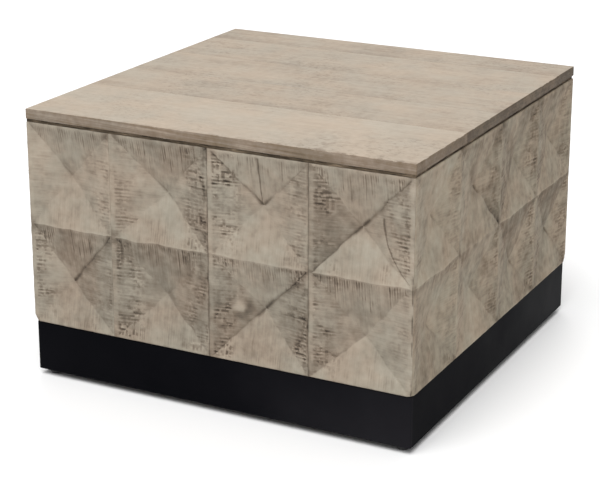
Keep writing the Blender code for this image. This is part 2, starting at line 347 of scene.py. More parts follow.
powder_coat, web = new_finish("black_powder_coat")
web.wire(1.08, web.shader.inputs["IOR"])
place = web.place()
cloud = web.noise(place, 7.0, 3.0, 0.6)

# A painted sheen on the front skirt, standing for the floor's reflection: lighter toward the near corner and
# the floor.
x, y, z = web.split(place)
near_corner = web.ramp(x, -0.24, 0.38)
on_front = web.ramp(y, -0.365, -0.377)
painted_floor_sheen = web.times(near_corner, near_corner, on_front, web.ramp(z, 0.012, 0.107, 1.0, 0.7))
coat_tone = web.plus(web.times(cloud, 0.46), web.times(painted_floor_sheen, 0.60))
coat_colours = [
    (0.12, (0.0017, 0.0018, 0.0027)),
    (0.35, (0.0036, 0.0036, 0.0049)),
    (1.0, (0.0155, 0.0148, 0.0172)),
]
peel = web.plus(web.noise(place, 420.0), web.times(web.noise(place, 1500.0, 1.0), 0.4))
web.finish(
    web.colours(coat_tone, coat_colours),
    web.ramp(cloud, 0.25, 0.75, 0.44, 0.58),
    web.bump(peel, 0.00012, 0.5),
)


def band_ring(half_width, inset, height):
    """A square of points with round corners at one height, set in from the band's outside by inset."""
    points = []
    radius = max(CORNER_RADIUS - inset, INNER_CORNER_RADIUS)
    reach = half_width - inset - radius
    for quarter, (x_sign, y_sign) in enumerate(((1, -1), (1, 1), (-1, 1), (-1, -1))):
        middle = Vector((x_sign * reach, y_sign * reach, height))
        for step in range(CORNER_STEPS + 1):
            turn = (quarter - 1 + step / CORNER_STEPS) / 4
            points.append(ring_point(middle, radius, turn, height))
    return points


low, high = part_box("plinth_skirt_front")
flange = high.y - low.y
under = high.z - SHEET
profile = [(BLUNT, low.z), (0.0, low.z + BLUNT)]
for step in range(FOLD_STEPS + 1):
    angle = math.pi / 2 * step / FOLD_STEPS
    inset = FOLD_RADIUS - FOLD_RADIUS * math.cos(angle)
    profile.append((inset, high.z - FOLD_RADIUS + FOLD_RADIUS * math.sin(angle)))
profile += [(flange - BLUNT, high.z), (flange, high.z - BLUNT), (flange, under + BLUNT)]
profile += [(flange - BLUNT, under), (SHEET + BLUNT, under), (SHEET, under - BLUNT)]
profile += [(SHEET, low.z + BLUNT), (SHEET - BLUNT, low.z)]
points = []
for inset, height in profile:
    points += band_ring(-low.y, inset, height)
faces = ring_faces(len(profile), 4 * (CORNER_STEPS + 1), "joined")
plinth = smooth_piece("plinth_band", points, faces, powder_coat)
dress(plinth, "table", "plinth_black", *[f"plinth_skirt_{side}" for side in SIDES])
paint([f"foot_gusset_{corner}" for corner in CORNERS], powder_coat)
paint([f"plinth_bolt_{side}" for side in SIDES], zinc)


# Frame inside the case. Plain planed rails, corner posts, top battens and a plywood floor panel,
# glued behind the planks. Only the floor panel and the rails' undersides can be seen, from below.
planed_wood, web = new_finish("planed_frame_wood", roughness=0.65)
place = web.place()
growth_rings = web.noise(web.stretched(place, 6.0, 60.0, 60.0), 1.0, 4.0, 0.55)
fibre = web.noise(web.stretched(place, 40.0, 900.0, 900.0))
tone = web.plus(web.times(growth_rings, 0.75), web.times(fibre, 0.25))
web.finish(
    web.colours(tone, [(0.3, (0.26, 0.17, 0.095)), (0.55, (0.44, 0.32, 0.20)), (0.75, (0.56, 0.44, 0.30))]),
    web.ramp(fibre, 0.3, 0.7, 0.58, 0.75),
    web.bump(tone, 0.0003, 0.5),
)
inner_nodes = ["floor_panel", "top_batten_left", "top_batten_right"]
inner_nodes += [f"corner_post_{corner}" for corner in CORNERS]
inner_nodes += [f"{level}_rail_{side}" for level in ("top", "bottom") for side in SIDES]
paint(inner_nodes, planed_wood)


# Carved planks. Four upright planks of grey-limed hardwood on each side, mitred at the corners, each cut
# with two sunken hollows of four rough-sawn facets. The saw marks run from the rim to the hollow's middle.
PLANKS_PER_SIDE = 4
WIDE_RIM = 0.009
NARROW_RIM = 0.003
GRID_STEP = 0.0018
EDGE_LINES = (0.0, 0.0007, 0.0016, 0.003)
WALL_LINE = 0.0045
MITRE_GAP = 0.0002
MITRE_LINE = 0.003
APEX_WANDER = 0.006
PLANK_SHARP = 0.9
WAYS = ("up left", "up right", "down left", "down right")
HALVES = ("left", "right")
ROWS = ("Lower", "Upper")

# Sizes that all planks share.
SHARED_SIZES = {
    "End rim": 0.005,
    "Ridge rim": 0.0022,
    "Hollow depth": 0.017,
    "Edge ease": 0.0022,
    "Corner wear": 0.011,
    "Stroke depth": 0.0010,
    "Pit depth": 0.0013,
    "Valley depth": 0.0013,
    "Knot reach": 0.019,
}

# How much each kind of mark darkens the wood. A mark below zero lightens it.
MARK_TONES = {
    "strokes": 0.31,
    "pits": 0.39,
    "chips": -0.26,
    "blotches": 0.22,
    "valley": 0.13,
    "valley_core": 0.13,
    "smear": 0.22,
    "apex": 0.27,
    "crack": 0.36,
    "knot_heart": -0.25,
    "crossing": 0.22,
}


def carving_marks(web, place, carve, strengths, flaws):
    """What the saw left in a hollow, by one rule for the mesh and for the finish. carve holds the place
    across and up from the hollow's deepest point, each from -1 to 1, and the hollow's number."""
    u, v, tile = carve
    valley_strength, torn_strength, stroke_strength = strengths
    knot, crack_distance = flaws
    x, _, z = web.split(place)
    reach_u = web.size_of(u)
    reach_v = web.size_of(v)
    nearer = web.most(reach_u, reach_v)
    off_middle = web.times(web.ramp(nearer, 0.0, 0.25), web.ramp(nearer, 1.0, 0.5))
    side_reach = web.plus(reach_u, web.times(web.swing(place, 0.10, 26.0), off_middle))
    side_lead = web.minus(side_reach, reach_v)
    sideways = web.above(side_lead, 0.0)
    along = web.pick(sideways, z, x)
    across = web.pick(sideways, x, z)
    right_half = web.above(u, 0.0)
    upper_half = web.above(v, 0.0)
    side_facet = web.plus(web.times(tile, 4.0), right_half)
    level_facet = web.plus(web.times(tile, 4.0), upper_half, 2.0)
    shift = web.times(web.pick(sideways, level_facet, side_facet), 7.31)

    def sawn(length, width):
        """Noise drawn out along the saw's way: length and width are the size of a mark, in metres."""
        return web.noise(web.stretched(web.join(along, across, shift), 1.0 / length, 1.0 / width, 1.0))

    def off_row(row_place):
        return web.size_of(web.minus(web.math("FRACT", row_place), 0.5))

    def kerfs(pitch):
        """Saw cuts side by side from the rim inward, each with its own length and darkness."""
        row_place = web.over(web.plus(across, web.centred(sawn(0.070, 0.014), 0.007)), pitch)
        row = web.join(web.math("FLOOR", row_place), shift, 0.0)
        chance = web.split(web.add("ShaderNodeTexWhiteNoise", {"Vector": row}, 1, noise_dimensions="3D"))
        inner_end = web.minus(0.85, web.times(chance[0], 0.48))
        reached = web.ramp(nearer, inner_end, web.plus(inner_end, 0.14))
        darkness = web.ramp(chance[1], 0.0, 1.0, 0.15, 1.0)
        return web.times(web.ramp(off_row(row_place), 0.10, 0.44, 1.0, -0.35), reached, darkness)

    def broken_cuts(run, over, pitch, length):
        """Short cuts in crooked rows a pitch apart, each row broken in its own places."""
        row_place = web.over(web.plus(over, web.swing(place, 0.0022, 95.0)), pitch)
        row = web.times(web.math("FLOOR", row_place), 17.3)
        broken = web.noise(web.join(web.over(run, length), row, shift), 1.0, 1.0)
        return web.times(web.ramp(off_row(row_place), 0.40, 0.16), web.ramp(broken, 0.47, 0.58))

    off_rim = web.ramp(nearer, 0.975, 1.02, 1.0, 0.08)
    off_knot = web.ramp(knot, 0.7, 1.0, 0.1, 1.0)
    near_upright_rim = web.times(web.ramp(reach_u, 0.28, 0.80, 0.05, 1.0), off_rim)
    clusters = web.ramp(web.noise(place, 22.0), 0.42, 0.62, 0.20, 1.0)
    low_facet = web.times(web.rest_of(sideways), web.rest_of(upper_half))
    stroke_share = web.pick(sideways, 1.0, web.plus(0.25, web.times(torn_strength, 0.75)))
    stroke_share = web.times(stroke_share, stroke_strength, web.pick(low_facet, 1.0, 0.35))
    strokes = kerfs(web.pick(sideways, 0.0046, 0.0064))
    strokes = web.times(strokes, off_rim, clusters, stroke_share, off_knot)
    torn = web.times(near_upright_rim, torn_strength, clusters, off_knot)
    with_saw = broken_cuts(along, across, 0.0074, 0.0120)
    over_saw = broken_cuts(across, along, 0.0096, 0.0090)
    blotches = web.times(web.ramp(u, 0.70, 0.98), web.ramp(web.noise(place, 58.0), 0.50, 0.64))

    patches = web.ramp(web.noise(place, 32.0), 0.36, 0.58, 0.25, 1.0)
    from_valley = web.size_of(side_lead)
    all_along = web.ramp(valley_strength, 0.45, 1.0)
    wedge = web.ramp(valley_strength, 1.0, 2.0)
    inside = web.times(web.ramp(nearer, 1.03, 0.97), all_along, web.rest_of(web.times(wedge, 0.8)))
    spread = web.plus(0.024, web.times(web.most(web.minus(0.95, nearer), 0.0), 0.045))
    beside_valley = web.times(web.ramp(side_lead, 0.30, 0.0), sideways)
    smear = web.times(beside_valley, all_along, web.ramp(nearer, 0.1, 0.5), off_rim)
    apex = web.times(web.ramp(nearer, 0.32, 0.04), web.ramp(from_valley, 0.085, 0.0))
    return {
        "nearer": nearer,
        "deeper": web.math("SMOOTH_MAX", side_reach, reach_v, 0.035),
        "softly_sideways": web.ramp(side_lead, -0.025, 0.025),
        "right_half": right_half,
        "upper_half": upper_half,
        "side_facet": side_facet,
        "level_facet": level_facet,
        "shift": shift,
        "fibre": sawn(0.022, 0.0011),
        "streaks": sawn(0.036, 0.0027),
        "broad_streaks": sawn(0.050, 0.0075),
        "strokes": strokes,
        "pits": web.times(web.most(with_saw, web.times(over_saw, 0.7)), torn),
        "chips": web.times(web.ramp(web.noise(place, 230.0, 1.0), 0.58, 0.70), torn),
        "blotches": web.times(blotches, torn_strength),
        "valley": web.times(web.ramp(from_valley, web.times(spread, 1.9), 0.0), inside),
        "valley_core": web.times(web.ramp(from_valley, spread, 0.0), inside, patches),
        "smear": web.times(smear, web.plus(0.7, web.times(wedge, 0.3))),
        "apex": web.times(apex, web.ramp(valley_strength, 0.1, 0.65)),
        "crossing": web.times(web.ramp(reach_u, 0.84, 1.0), web.ramp(reach_v, 0.84, 1.0), patches),
        "crack": web.ramp(crack_distance, 0.0019, 0.0004),
        "knot_ring": web.times(web.ramp(knot, 0.45, 0.85), web.ramp(knot, 1.7, 0.85)),
        "knot_heart": web.ramp(knot, 0.7, 0.25),
    }


carved_wood, web = new_finish("limed_carved_wood", roughness=0.8, specular=0.3)
place = web.attribute("plank_place")
u, v, tile = web.split(web.attribute("carve"))
strengths = web.split(web.attribute("marks"))
knot, crack_distance, from_seam = web.split(web.attribute("flaws"))
contrast, knot_side, weathered_and_warm_bounce = web.split(web.attribute("look"))
carve = (u, v, web.math("ROUND", tile))
marks = carving_marks(web, place, carve, strengths, (knot, crack_distance))
facets = (marks["level_facet"], marks["side_facet"])
chances = [web.add("ShaderNodeTexWhiteNoise", {"W": facet}, noise_dimensions="1D") for facet in facets]
facet_chance = web.pick(marks["softly_sideways"], *chances)
# Painted shade: each facet is darkened by how it turns from the light, the top and right-hand facets most,
# the left-hand ones less and the bottom ones not at all.
side_shade = web.plus(0.62, web.times(marks["right_half"], 0.38))
shaded = web.pick(marks["softly_sideways"], marks["upper_half"], side_shade)
# Painted shadow: a soft dark band on the top facet just under the ridge.
under_ridge = web.times(web.ramp(v, 0.84, 0.99), web.rest_of(marks["softly_sideways"]))
worn_rim = web.ramp(marks["nearer"], 0.93, 1.02)
worn_rim = web.times(worn_rim, web.ramp(web.noise(place, 60.0, 3.0), 0.35, 0.6, 0.3, 1.0))
joint = web.ramp(web.split(place)[1], 0.0012, 0.004)
clouds = web.swing(web.attribute("cloud_place"), 0.25, 8.0, 2.0, 0.6)
soft_tones = web.plus(web.centred(facet_chance, 0.2625), clouds)
blotchy = web.plus(web.swing(place, 0.25, 70.0, 3.0), web.swing(place, 0.20, 27.0))
grime = web.ramp(web.noise(place, 15.0), 0.42, 0.62, 0.12, 1.0)
grime = web.times(web.ramp(from_seam, 0.0050, 0.0006), grime)
tone = web.plus(
    0.316,
    web.times(soft_tones, contrast),
    web.times(blotchy, web.ramp(weathered_and_warm_bounce, 0.0, 1.0, 1.0, 1.25)),
    web.centred(marks["broad_streaks"], 0.20),
    web.centred(marks["streaks"], 0.16),
    web.centred(marks["fibre"], 0.17),
    web.times(shaded, 0.075),
    web.times(under_ridge, 0.07),
    web.times(marks["knot_ring"], knot_side, 0.27),
    web.times(worn_rim, -0.09),
    web.times(grime, 0.24),
    web.times(joint, 0.7),
    *[web.times(marks[mark], darker) for mark, darker in MARK_TONES.items()],
)
limed_colours = [
    (0.0, (0.362, 0.318, 0.258)),
    (0.30, (0.284, 0.240, 0.190)),
    (0.62, (0.158, 0.126, 0.096)),
    (1.0, (0.040, 0.030, 0.022)),
]
rosy = web.ramp(web.noise(place, 11.0, 3.0, 0.6), 0.3, 0.7)
rosy_tint = web.colours(rosy, [(0.0, (0.96, 1.012, 1.01)), (1.0, (1.036, 0.986, 0.945))])
# Painted light: the right side's planks take a warmer tint, standing for warm light bounced onto that side.
painted_warm_bounce_tint = web.colours(weathered_and_warm_bounce, [(0.0, (1.0, 1.0, 1.0)), (1.0, (1.02, 0.998, 0.944))])
relief = web.plus(
    web.times(marks["fibre"], 0.35),
    web.times(marks["streaks"], 0.35),
    web.times(marks["strokes"], -0.4),
    web.times(marks["pits"], -0.6),
)
web.finish(
    web.tint(web.tint(web.colours(tone, limed_colours), rosy_tint), painted_warm_bounce_tint),
    web.ramp(tone, 0.0, 1.0, 0.7, 0.92),
    web.bump(relief, 0.0008, 0.7),
)


def carving_tree(sizes):
    """The rule of a carved plank: two hollows of four facets in its outer face, sawn, pitted and worn."""
    tree = bpy.data.node_groups.new("carve_plank", "GeometryNodeTree")
    tree.interface.new_socket("Plank", in_out="INPUT", socket_type="NodeSocketGeometry")
    for size in sizes:
        tree.interface.new_socket(size, in_out="INPUT", socket_type="NodeSocketFloat")
    tree.interface.new_socket("Finish", in_out="INPUT", socket_type="NodeSocketMaterial")
    tree.interface.new_socket("Carved plank", in_out="OUTPUT", socket_type="NodeSocketGeometry")
    web = Web(tree)
    given = tree.nodes.new("NodeGroupInput").outputs
    x, depth, z = web.split(web.add("GeometryNodeInputPosition"))
    middle_x = web.times(web.plus(given["Right"], given["Left"]), 0.5)
    half_height = web.times(web.minus(given["Top"], given["Bottom"]), 0.5)
    ridge = web.plus(given["Bottom"], half_height)
    seeded_x = web.plus(x, web.times(given["Seed"], 3.7))
    place = web.join(seeded_x, depth, z)

    def hollow_at(x, z):
        """The place in the hollow at x and z, as carving_marks takes it, and how strong its marks are."""
        row = web.above(z, ridge)

        def of_row(name):
            return web.pick(row, given[f"Lower {name}"], given[f"Upper {name}"])

        apex_x = web.plus(middle_x, of_row("apex across"))
        row_middle = web.plus(given["Bottom"], web.times(half_height, web.plus(row, 0.5)))
        apex_z = web.plus(row_middle, of_row("apex up"))
        lowest = web.plus(given["Bottom"], given["End rim"])
        highest = web.minus(given["Top"], given["End rim"])
        bottom = web.pick(row, lowest, web.plus(ridge, given["Ridge rim"]))
        top = web.pick(row, web.minus(ridge, given["Ridge rim"]), highest)
        to_right = web.above(x, apex_x)
        to_top = web.above(z, apex_z)

        def of_half(name):
            return web.pick(to_right, of_row(f"{name} left"), of_row(f"{name} right"))

        room_left = web.minus(apex_x, web.plus(given["Left"], given["Left rim"]))
        room_right = web.minus(web.minus(given["Right"], given["Right rim"]), apex_x)
        room_x = web.pick(to_right, room_left, room_right)
        room_z = web.pick(to_top, web.minus(apex_z, bottom), web.minus(top, apex_z))
        u = web.over(web.minus(x, apex_x), room_x)
        v = web.over(web.minus(z, apex_z), room_z)
        tile = web.plus(web.times(given["Tone seed"], 2.0), row)
        valley = web.pick(to_top, of_half("valley down"), of_half("valley up"))
        return (u, v, tile), (valley, of_half("torn"), given["Stroke strength"])

    def length(x, z):
        return web.math("SQRT", web.plus(web.times(x, x), web.times(z, z)))

    knot_x = web.minus(x, given["Knot across"])
    knot_z = web.minus(z, given["Knot up"])
    knot = web.over(length(knot_x, knot_z), given["Knot reach"])
    knot = web.plus(knot, web.swing(place, 0.28, 60.0, 3.0))
    knot_side = web.ramp(web.minus(knot_x, web.times(knot_z, 0.9)), -0.010, 0.014)

    run_x = web.minus(given["Crack foot across"], given["Crack top across"])
    run_z = web.minus(given["Crack foot up"], given["Crack top up"])
    run = length(run_x, run_z)
    top_x = web.minus(x, given["Crack top across"])
    top_z = web.minus(z, given["Crack top up"])
    down_crack = web.plus(web.times(top_x, run_x), web.times(top_z, run_z))
    down_crack = web.over(down_crack, web.times(run, run))
    on_crack = web.least(web.most(down_crack, 0.0), 1.0)
    beside = web.over(web.minus(web.times(top_x, run_z), web.times(top_z, run_x)), run)
    bow = web.times(given["Crack bow"], 4.0, on_crack, web.rest_of(on_crack))
    bow = web.plus(bow, web.swing(place, 0.0025, 40.0))
    past_end = web.times(web.size_of(web.minus(down_crack, on_crack)), run)
    crack_distance = web.plus(web.size_of(web.minus(beside, bow)), past_end)
    crack_distance = web.times(crack_distance, web.plus(0.5, web.times(on_crack, 0.9)))

    # A broken groove beside the mitre of each right corner, fainter toward the top.
    from_right = web.minus(given["Right"], x)
    mitre_breaks = web.noise(web.join(given["Seed"], 0.0, z), 16.0)
    mitre_groove = web.plus(
        web.size_of(web.minus(from_right, MITRE_LINE)),
        web.ramp(mitre_breaks, 0.44, 0.54, 0.0016, 0.0),
        web.ramp(z, 0.30, 0.42, 0.0, 0.0012),
        web.rest_of(given["Right corner"]),
    )
    crack_distance = web.least(crack_distance, mitre_groove)

    carve, strengths = hollow_at(x, z)
    marks = carving_marks(web, place, carve, strengths, (knot, crack_distance))
    ragged_reach = web.plus(marks["deeper"], web.swing(place, 0.016, 75.0, 3.0))
    fall = web.math("SMOOTH_MAX", web.rest_of(ragged_reach), 0.0, 0.045)
    hollow = web.times(web.least(fall, 1.0), given["Hollow depth"])
    fine_grain = web.times(web.plus(marks["fibre"], marks["streaks"]), 0.3)
    sawn = web.times(web.plus(marks["strokes"], fine_grain), given["Stroke depth"])
    pitted = web.times(web.minus(marks["pits"], web.times(marks["chips"], 0.35)), given["Pit depth"])
    cracked = web.plus(marks["valley_core"], marks["apex"], marks["crack"])
    cracked = web.times(cracked, given["Valley depth"])
    swell = web.swing(web.join(x, z, marks["shift"]), 0.0011, 24.0)
    swell = web.times(swell, web.ramp(marks["nearer"], 0.75, 1.0, 1.0, 0.2))

    from_bottom = web.minus(z, given["Bottom"])

    def upright_edge(half, distance):
        """How far the edge's open part and its seam are, and what is worn off its lower corner."""
        corner, closed = given[f"{half} corner"], given[f"{half} closed"]
        opened = web.plus(distance, closed)
        near = web.minus(given["Corner wear"], web.plus(distance, web.times(from_bottom, 0.7)))
        return opened, web.plus(opened, corner, closed), web.times(web.most(near, 0.0), 0.6, corner)

    open_left, left_seam, worn_left = upright_edge("Left", web.minus(x, given["Left"]))
    open_right, right_seam, worn_right = upright_edge("Right", from_right)
    from_seam = web.least(left_seam, right_seam)
    from_edge = web.least(open_left, open_right, from_bottom, web.minus(given["Top"], z))
    ragged_ease = web.plus(given["Edge ease"], web.swing(place, 0.0016, 55.0, 3.0))
    ragged_ease = web.most(ragged_ease, 0.0004)
    ease = web.most(web.rest_of(web.over(from_edge, ragged_ease)), 0.0)
    ease = web.times(ease, ease, ragged_ease, 0.6)
    outer_face = web.math("LESS_THAN", depth, 1e-5)
    carved_in = web.plus(hollow, sawn, pitted, cracked, swell, ease, worn_left, worn_right)
    cut = web.times(web.most(carved_in, 0.0), outer_face)
    from_ridge = web.size_of(web.minus(z, ridge))
    ridge_bend = web.swing(web.join(seeded_x, 0.0, 0.0), 0.0075, 15.0, 3.0)
    ridge_bend = web.times(ridge_bend, web.ramp(from_ridge, 0.06, 0.0), outer_face)

    # Each face takes the hollow that its middle lies in, so nothing blends across the ridge.
    def on_face(value):
        return web.add("GeometryNodeFieldOnDomain", {"Value": value}, domain="FACE", data_type="FLOAT")

    face_z = on_face(z)
    face_strengths = hollow_at(on_face(x), face_z)[1]
    under_ridge = web.least(z, web.minus(ridge, 1e-6))
    over_ridge = web.most(z, web.plus(ridge, 1e-6))
    corner_carve = hollow_at(x, web.pick(web.above(face_z, ridge), under_ridge, over_ridge))[0]

    def keep(geometry, name, value, domain="POINT"):
        inputs = {"Geometry": geometry, "Name": name, "Value": value}
        return web.add("GeometryNodeStoreNamedAttribute", inputs, data_type="FLOAT_VECTOR", domain=domain)

    kept = keep(given["Plank"], "carve", web.join(*corner_carve), "CORNER")
    kept = keep(kept, "marks", web.join(*face_strengths), "FACE")
    kept = keep(kept, "flaws", web.join(knot, crack_distance, from_seam))
    kept = keep(kept, "plank_place", place)
    kept = keep(kept, "look", web.join(given["Contrast"], knot_side, given["Weathered and warm bounce"]))
    kept = keep(kept, "cloud_place", web.join(x, web.times(given["Cloud seed"], 1.37), z))
    offset = web.join(0.0, cut, ridge_bend)
    carved = web.add("GeometryNodeSetPosition", {"Geometry": kept, "Offset": offset})
    real = web.add("GeometryNodeRealizeInstances", {"Geometry": carved})
    dressed = web.add("GeometryNodeSetMaterial", {"Geometry": real, "Material": given["Finish"]})
    web.wire(dressed, tree.nodes.new("NodeGroupOutput").inputs[0])
    return tree


def lines_between(start, stop):
    """Grid lines, close together by the two ends and even between them."""
    near = [start + line for line in EDGE_LINES]
    far = [stop - line for line in reversed(EDGE_LINES)]
    count = max(1, round((far[0] - near[-1]) / GRID_STEP))
    return near + [near[-1] + (far[0] - near[-1]) * step / count for step in range(1, count)] + far


def blank_plank(name, sizes, thickness):
    """An uncut plank: a fine grid on its outer face, plain walls and a plain back."""
    ridge = (sizes["Bottom"] + sizes["Top"]) / 2
    across = lines_between(sizes["Left"], sizes["Right"])
    up = lines_between(sizes["Bottom"], ridge)[:-1] + lines_between(ridge, sizes["Top"])
    columns = len(across)
    points = [(x, 0.0, z) for z in up for x in across]
    faces = []
    for row in range(len(up) - 1):
        for column in range(columns - 1):
            here = row * columns + column
            faces.append((here, here + 1, here + columns + 1, here + columns))
    border = list(range(columns))
    border += [row * columns + columns - 1 for row in range(1, len(up))]
    border += [(len(up) - 1) * columns + column for column in range(columns - 2, -1, -1)]
    border += [row * columns for row in range(len(up) - 2, 0, -1)]
    last = border
    for depth in (WALL_LINE, thickness):
        first = len(points)
        points += [(points[index][0], depth, points[index][2]) for index in border]
        ring = list(range(first, len(points)))
        for step in range(len(ring)):
            turn = (step + 1) % len(ring)
            faces.append((last[turn], last[step], ring[step], ring[turn]))
        last = ring
    faces.append(tuple(last))
    mesh = bpy.data.meshes.new(name)
    mesh.from_pydata(points, [], faces)
    return mesh


def side_matrix(side):
    """From a side's own frame, x to the right as seen from outside and y inward, to the table's frame."""
    turn = SIDES.index(side) * math.pi / 2
    return Matrix.Rotation(turn, 4, "Z") @ Matrix.Translation((0.0, -cad_high.y, 0.0))


def side_box(side, node):
    """The low and the high corner of a node's box in its side's own frame."""
    to_side = side_matrix(side).inverted()
    corners = [to_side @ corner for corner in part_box(node)]
    return [Vector([end(places) for places in zip(*corners)]) for end in (min, max)]


# What can be seen of each front hollow, lower and then upper: how far its deepest point is off the
# middle, how dark its four valleys are in the order of WAYS, and how torn its left and right rims are.
FRONT_HOLLOWS = (
    ((-0.0065, -0.009), (0.1, 0.86, 0.1, 0.1), (0.8, 0.5)),
    ((-0.003, 0.0015), (0.36, 0.1, 0.1, 0.1), (0.1, 0.4)),
    ((0.0055, 0.0), (0.1, 0.3, 0.1, 0.1), (1.0, 0.75)),
    ((0.0105, -0.001), (0.5, 0.15, 0.1, 0.42), (0.35, 1.1)),
    ((0.007, 0.007), (0.3, 1.2, 0.62, 0.2), (1.1, 1.0)),
    ((0.004, 0.003), (0.82, 0.7, 0.1, 0.1), (1.35, 0.45)),
    ((0.0035, -0.007), (0.2, 0.1, 0.1, 0.1), (0.8, 0.3)),
    ((-0.004, -0.005), (0.35, 0.84, 0.76, 0.3), (0.8, 0.65)),
)
# How dark the valley down to the right is in each right hollow, lower and then upper.
RIGHT_VALLEYS = (0.45, 0.5, 0.15, 2.0, 0.5, 0.2, 0.7, 0.4)

# Seeds for the facets' own tones and for the soft clouds over them, on the planks that face the camera.
TONE_SEEDS = {
    "front": ((3610, 2873), (2743, 1916), (621, 302), (749, 3213)),
    "right": ((674, 2131), (3166, 1726), (1254, 3431), (1254, 1198)),
}
CONTRASTS = {"front": 1.1, "right": 1.3, "back": 0.85, "left": 0.85}

# Knots, and cracks that dried open: top and foot as seen from outside the side, and how far it bows.
FAR_AWAY = 9.0
NO_KNOT = (FAR_AWAY, FAR_AWAY)
NO_CRACK = ((FAR_AWAY, FAR_AWAY), (FAR_AWAY, 0.0), 0.0)
KNOTS = {"front_plank_3": (0.050, 0.209)}
CRACKS = {
    "front_plank_3": ((0.0895, 0.481), (0.0915, 0.400), 0.0),
    "front_plank_4": ((0.3205, 0.4075), (0.3725, 0.303), 0.0125),
    "left_plank_2": ((-0.102, 0.294), (-0.096, 0.214), 0.003),
    "back_plank_3": ((0.094, 0.470), (0.083, 0.392), -0.004),
}

# How far each joint of a side is closed up with lime, from its left corner to its right one.
OPEN_SEAMS = (0.0, 0.0006, 0.0, 0.0009, 0.0)
CLOSED_SEAMS = {
    "front": (0.0, 0.0020, 0.0004, 0.0, 0.0),
    "right": (0.0, 0.0012, 0.0018, 0.0012, 0.0),
}


def plank_sizes(side, number):
    """A plank's place and marks, by the names of the carving's inputs."""
    node = f"{side}_plank_{number}"
    low, high = side_box(side, node)
    at_left, at_right = number == 1, number == PLANKS_PER_SIDE
    seed = SIDES.index(side) * PLANKS_PER_SIDE + number
    tone_seed, cloud_seed = TONE_SEEDS[side][number - 1] if side in TONE_SEEDS else (seed, seed)
    seams = CLOSED_SEAMS.get(side, OPEN_SEAMS)
    sizes = {
        **SHARED_SIZES,
        "Left": -cad_high.x if at_left else low.x,
        "Right": cad_high.x if at_right else high.x,
        "Bottom": low.z,
        "Top": high.z,
        "Left rim": NARROW_RIM if side == "right" and not at_left else WIDE_RIM,
        "Right rim": WIDE_RIM if at_right else NARROW_RIM,
        "Left corner": float(at_left),
        "Right corner": float(at_right),
        "Left closed": seams[number - 1],
        "Right closed": seams[number],
        "Seed": float(seed),
        "Tone seed": float(tone_seed),
        "Cloud seed": float(cloud_seed),
        "Stroke strength": 0.6 if side == "right" else 1.0,
        "Contrast": CONTRASTS[side],
        # The right side's planks are more blotchy, and take a painted warm tint for light bounced onto that
        # side.
        "Weathered and warm bounce": float(side == "right"),
    }
    crack_top, crack_foot, sizes["Crack bow"] = CRACKS.get(node, NO_CRACK)
    places = {"Knot": KNOTS.get(node, NO_KNOT), "Crack top": crack_top, "Crack foot": crack_foot}
    for row_number, row in enumerate(ROWS):
        apex = [chance.uniform(-APEX_WANDER, APEX_WANDER) for way in range(2)]
        valleys = [chance.uniform(0.05, 0.5) + 0.4 * (chance.random() > 0.75) for way in WAYS]
        torn = [chance.uniform(0.3, 1.0) for half in HALVES]
        hollow = (number - 1) * len(ROWS) + row_number
        if side == "front":
            apex, valleys, torn = FRONT_HOLLOWS[hollow]
        if side == "right":
            valleys = [0.4 * valleys[0], 0.4 * valleys[1], 0.3 * valleys[2], RIGHT_VALLEYS[hollow]]
            torn = [0.5 * torn[0], 0.2 + 0.55 * torn[1]]
        places[f"{row} apex"] = apex
        sizes.update({f"{row} valley {way}": valley for way, valley in zip(WAYS, valleys)})
        sizes.update({f"{row} torn {half}": share for half, share in zip(HALVES, torn)})
    for name, (across, up) in places.items():
        sizes.update({f"{name} across": across, f"{name} up": up})
    return sizes


chance = random.Random(11)
numbers = range(1, PLANKS_PER_SIDE + 1)
planks = {(side, number): plank_sizes(side, number) for side in SIDES for number in numbers}
carve_plank = carving_tree(planks["front", 1])
for (side, number), sizes in planks.items():
    node = f"{side}_plank_{number}"
    low, high = side_box(side, node)
    blank = in_scene(f"carved_{node}", blank_plank(f"carved_{node}", sizes, high.y - low.y))
    carving = blank.modifiers.new("carving", "NODES")
    carving.node_group = carve_plank
    inputs = {**sizes, "Finish": carved_wood}
    for item in carve_plank.interface.items_tree:
        if item.name in inputs:
            carving[item.identifier] = inputs[item.name]
    evaluated = blank.evaluated_get(bpy.context.evaluated_depsgraph_get())
    carved = bpy.data.meshes.new_from_object(evaluated)
    bpy.data.objects.remove(blank)
    for vertex in carved.vertices:
        behind = vertex.co.y + MITRE_GAP
        if number == 1:
            vertex.co.x = max(vertex.co.x, sizes["Left"] + behind)
        if number == PLANKS_PER_SIDE:
            vertex.co.x = min(vertex.co.x, sizes["Right"] - behind)
    carved.transform(side_matrix(side))
    shade(carved, PLANK_SHARP)
    plank = in_scene(f"carved_{node}", carved)
    dress(plank, "table", "carved_planks", node)


# Spacer strips. Rough strips of brown-stained softwood on the planks' tops, mitred at the corners and set
# back a little from the faces, which hold the top up and leave a dark shadow gap under it.
STRIP_SETBACKS = {"front": 0.0008, "right": 0.0030, "back": 0.0024, "left": 0.0030}
STRIP_STEP = 0.009
STRIP_RAGGED = 0.0007

stained, web = new_finish("brown_stained_strip", roughness=0.85, specular=0.15)
place = web.place()
ragged = web.noise(web.stretched(place, 60.0, 60.0, 500.0), 1.0, 3.0)
wander = web.swing(web.stretched(place, 1.0, 1.0, 0.0), 0.45, 20.0)
stain = [(0.3, (0.030, 0.022, 0.014)), (0.6, (0.096, 0.071, 0.047)), (0.78, (0.20, 0.150, 0.102))]
stain_colour = web.colours(web.plus(ragged, wander), stain)
web.finish(stain_colour, normal=web.bump(ragged, 0.0006, 0.6))

